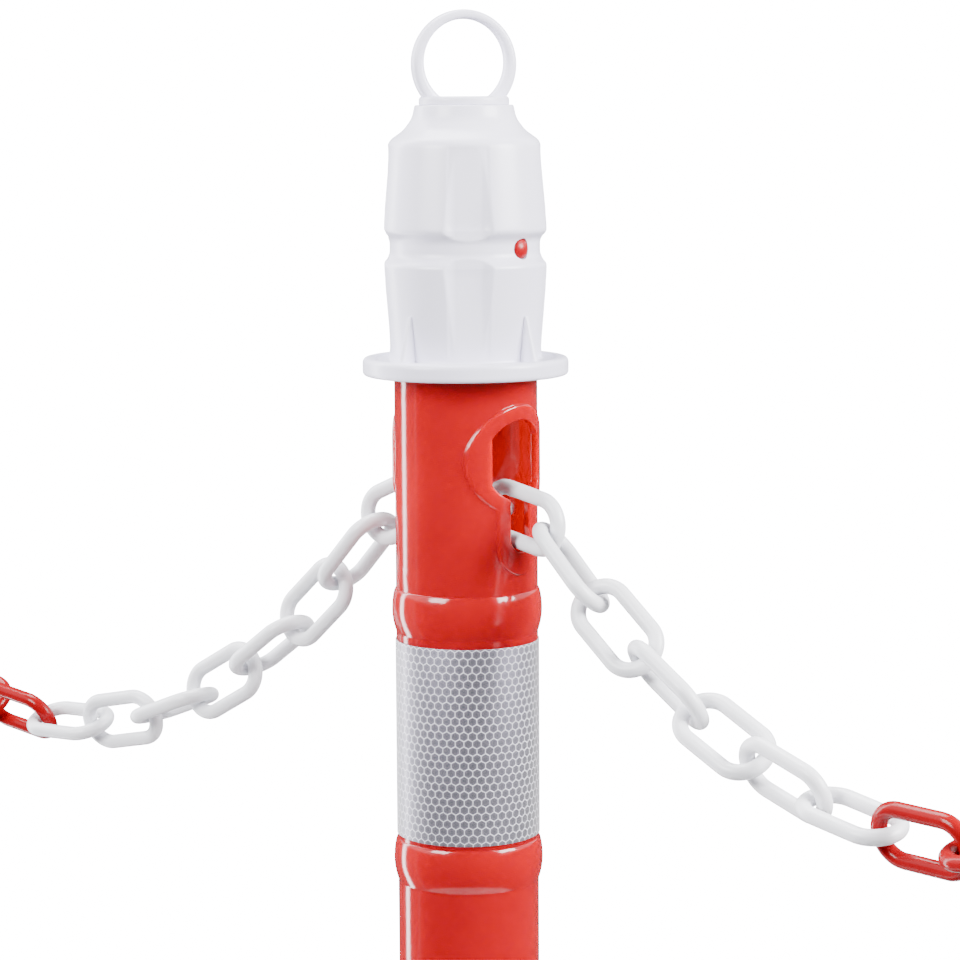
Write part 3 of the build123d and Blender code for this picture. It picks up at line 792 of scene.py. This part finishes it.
# %% Rubber
CRUMB_CELLS, CLUMP_GRAIN, FLECK_GRAIN, WEAR_GRAIN, CRUMB_RELIEF = 420.0, 160, 900, 14, 0.25 * MM
rubber, flow = new_finish("pressed_rubber")
where = flow.node("ShaderNodeTexCoord", out="Object")
crumb = flow.node("ShaderNodeTexVoronoi", {"feature": "F1"}, {"Vector": where, "Scale": CRUMB_CELLS}, "Distance")
fleck = where.grain(FLECK_GRAIN, 1).ease(0.66, 0.72)
worn = where.grain(WEAR_GRAIN, 4).ease(0.35, 0.75)
dark = worn.between(colour(34, 34, 35), colour(46, 46, 47))
close_finish(flow, crumb + 0.6 * where.grain(CLUMP_GRAIN, 3), CRUMB_RELIEF, {
    "Base Color": (0.5 * fleck).between(dark, colour(92, 92, 92)),
    "Roughness": 0.82 - 0.12 * worn + 0.1 * crumb,
})
base_slots = frame["nodes"]["rubber_base"].data.materials
base_slots.clear()
base_slots.append(rubber)
print("kept solid:", "rubber_base")

# %% [markdown]
# ## Spring strip
# A bent strip of bright rolled steel behind the buttons pushes them out. When a button is pressed the
# strip's leg bends in with it. The strip is made in two halves that meet at the fold.

# %% Steel strip
DRAWN_LINES, DRAWN_RELIEF = (400, 9000, 400), 0.004 * MM
steel, flow = new_finish("spring_strip_steel")
where = flow.node("ShaderNodeTexCoord", out="Object")
drawn = flow.node("ShaderNodeMapping", None, {"Vector": where, "Scale": DRAWN_LINES}).grain(1.0, 2)
close_finish(flow, drawn, DRAWN_RELIEF, {
    "Base Color": drawn.between(colour(176, 176, 178), colour(204, 204, 206)),
    "Roughness": 0.26 + 0.14 * drawn, "Metallic": 1.0,
})
STRIP_MIDDLE, STRIP_HALF_WIDTH, STRIP_HALF_THICKNESS = 30.17, 4.5, 0.5
LEG_FOOT, LEG_TOP = BUTTON_LEVEL - 18.0, BUTTON_LEVEL + 9.0
BEND_ROWS, LEG_ROWS = 25, 14


def half_strip(side):
    """A flat section carried along a quarter circle, from the fold to the leg's foot, and straight up it."""
    bend = np.linspace(0, np.pi / 2, BEND_ROWS)
    leg = np.linspace(LEG_FOOT, LEG_TOP, LEG_ROWS + 1)[1:]
    x = np.concatenate([STRIP_MIDDLE * np.sin(bend), np.full(LEG_ROWS, STRIP_MIDDLE)])
    z = np.concatenate([LEG_FOOT - STRIP_MIDDLE * np.cos(bend), leg])
    out_x = np.concatenate([np.sin(bend), np.ones(LEG_ROWS)])
    out_z = np.concatenate([-np.cos(bend), np.zeros(LEG_ROWS)])
    ends = np.r_[0, np.arange(len(x)), len(x) - 1]
    size = np.concatenate([[0], np.ones(len(x)), [0]])[:, None]
    x, z, out_x, out_z = (part[ends, None] for part in (x, z, out_x, out_z))
    out = size * STRIP_HALF_THICKNESS * np.array([1, 1, -1, -1])
    across = size * STRIP_HALF_WIDTH * np.array([1, -1, -1, 1])
    return np.stack([side * (x + out * out_x), side * across, z + out * out_z], axis=-1)


for place, side in (("right", 1), ("left", -1)):
    strip = weld(f"spring_strip_{place}", [sheet_of(half_strip(side))])
    strip.data.materials.append(steel)
    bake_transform(strip)
    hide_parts("button_spring")

# %% [markdown]
# ## Floor, light and camera
# A pale floor catches a soft shadow. The light is a studio's. A glossy tube shows its surroundings as
# upright stripes, so they are drawn by bearing: a dim room, a paler wall on the left with a thin seam at
# its near edge, one bright window in it that draws the white line down the tube, and two soft panels
# higher up at the sides. Three soft boxes light the post from the left, the right and above. The camera
# stands where the photograph was taken, 42 degrees round and 7 down, with a long lens.

# %% Floor
FLOOR_RADIUS, FLOOR_DROP, FLOOR_ROWS, FLOOR_COLUMNS = 650, 0.5, 9, 96
floor_finish, flow = new_finish("pale_floor")
where = flow.node("ShaderNodeTexCoord", out="Object")
close_finish(flow, where.grain(300, 2), 0.02 * MM, {
    "Base Color": where.grain(3, 2).between(colour(186, 186, 187), colour(192, 192, 193)),
    "Roughness": 0.7,
})
floor_rows = np.stack([np.linspace(0, FLOOR_RADIUS, FLOOR_ROWS), np.full(FLOOR_ROWS, -FLOOR_DROP)], axis=1)
floor = weld("floor", [sheet_of(turned(floor_rows, FLOOR_COLUMNS))])
floor.data.materials.append(floor_finish)

# %% Surround
world = bpy.data.worlds.new("studio")
bpy.context.scene.world = world
world.use_nodes = True
world.node_tree.nodes.clear()
flow = Flow(world.node_tree)
CAMERA_TURN = 42.0
COOL_WHITE, ROOM_STRENGTH = (0.96, 0.96, 1.0, 1), 0.22
facing_camera, camera_right = np.radians(CAMERA_TURN - 90), np.radians(CAMERA_TURN)
way = flow.node("ShaderNodeTexCoord", out="Generated")


def part_along(turn):
    """How far a direction of the surround points along a turn."""
    axis = (float(np.cos(turn)), float(np.sin(turn)), 0.0)
    return flow.node("ShaderNodeVectorMath", {"operation": "DOT_PRODUCT"}, {0: way, 1: axis}, "Value")


def band(value, opens, closes):
    """1 between two soft edges of a value, each given by where it starts and where it ends."""
    return value.ease(*opens) * (1 - value.ease(*closes))


def glow_of(strength):
    """A plain part of the surround, a little cooler than white."""
    return flow.node("ShaderNodeBackground", None, {"Color": COOL_WHITE, "Strength": strength})


bearing = flow.sum("ARCTAN2", part_along(camera_right), part_along(facing_camera)) * float(180 / np.pi)
aside = bearing.sum("ABSOLUTE", bearing)
rise = flow.node("ShaderNodeSeparateXYZ", None, {0: way}, 2)
left_wall = band(bearing, (-134, -130), (-89.5, -86.5))
seam = band(bearing, (-91, -89.5), (-88, -86.5))
side_panels = band(aside, (48, 60), (140, 155)) * band(rise, (0.12, 0.2), (0.7, 0.8))
window = band(bearing, (-126, -123), (-116, -113))
backdrop = flow.node("ShaderNodeLightPath", out="Is Camera Ray")
surround = glow_of(ROOM_STRENGTH)
for part, strength in ((left_wall, 0.42), (seam, 1.2), (side_panels, 2.6), (window, 24.0), (backdrop, 18.0)):
    surround = flow.node("ShaderNodeMixShader", None, {0: part, 1: surround, 2: glow_of(strength)})
flow.node("ShaderNodeOutputWorld", None, {"Surface": surround})
print("surround:", len(world.node_tree.nodes), "nodes")


# %% Soft boxes
def placement(axes, place):
    """The matrix that sets an object at a place, along three axes: its right, its up and its back."""
    return Matrix([[*row, at] for row, at in zip(np.array(axes).T, place)] + [[0, 0, 0, 1]])


def soft_box(name, turn, height, distance, size, watts, aim=0.75):
    """A rectangular light at a turn round the post, pointed at the post's axis at the aim height."""
    lamp = bpy.data.lights.new(name, "AREA")
    lamp.shape = "RECTANGLE"
    lamp.size, lamp.size_y = size
    lamp.energy = watts
    at = np.array([np.sin(np.radians(turn)) * distance, -np.cos(np.radians(turn)) * distance, height])
    back = at - [0, 0, aim]
    back /= np.linalg.norm(back)
    right = np.cross([0, 0, 1], back)
    right /= np.linalg.norm(right)
    holder = bpy.data.objects.new(name, lamp)
    bpy.context.scene.collection.objects.link(holder)
    holder.matrix_world = placement([right, np.cross(back, right), back], at)


soft_box("left_box", CAMERA_TURN - 48, height=1.5, distance=1.5, size=(0.8, 0.8), watts=66)
soft_box("right_box", CAMERA_TURN + 66, height=1.45, distance=1.5, size=(0.9, 0.8), watts=110)
soft_box("top_box", CAMERA_TURN - 150, height=2.8, distance=0.8, size=(1.2, 1.2), watts=95)
print("lights:", [lamp.name for lamp in bpy.data.lights])

# %% Camera
CAMERA_PITCH, CAMERA_ROLL, CAMERA_DISTANCE = 7.2, 0.33, 1513.7
CAMERA_AIM, CAMERA_OFFSET, FOCAL_PIXELS, PICTURE_PIXELS, SENSOR = 955.2, 6.9, 3000.0, 960.0, 36.0
az, tilt, roll = np.radians([CAMERA_TURN, CAMERA_PITCH, CAMERA_ROLL])
back = np.array([np.sin(az) * np.cos(tilt), -np.cos(az) * np.cos(tilt), np.sin(tilt)])
right = np.array([np.cos(az), np.sin(az), 0])
up = np.cross(back, right)
target = np.array([0, 0, CAMERA_AIM - CAMERA_DISTANCE * np.sin(tilt)]) + CAMERA_OFFSET * right
camera_place = (target + CAMERA_DISTANCE * back) * MM
axes = [np.cos(roll) * right - np.sin(roll) * up, np.sin(roll) * right + np.cos(roll) * up, back]
lens = bpy.data.cameras.new("photo_camera")
lens.sensor_width = SENSOR
lens.lens = FOCAL_PIXELS / PICTURE_PIXELS * SENSOR
camera = bpy.data.objects.new("photo_camera", lens)
bpy.context.scene.collection.objects.link(camera)
camera.matrix_world = placement(axes, camera_place)
bpy.context.scene.camera = camera
print("camera at", camera_place.round(3).tolist(), "lens", lens.lens)
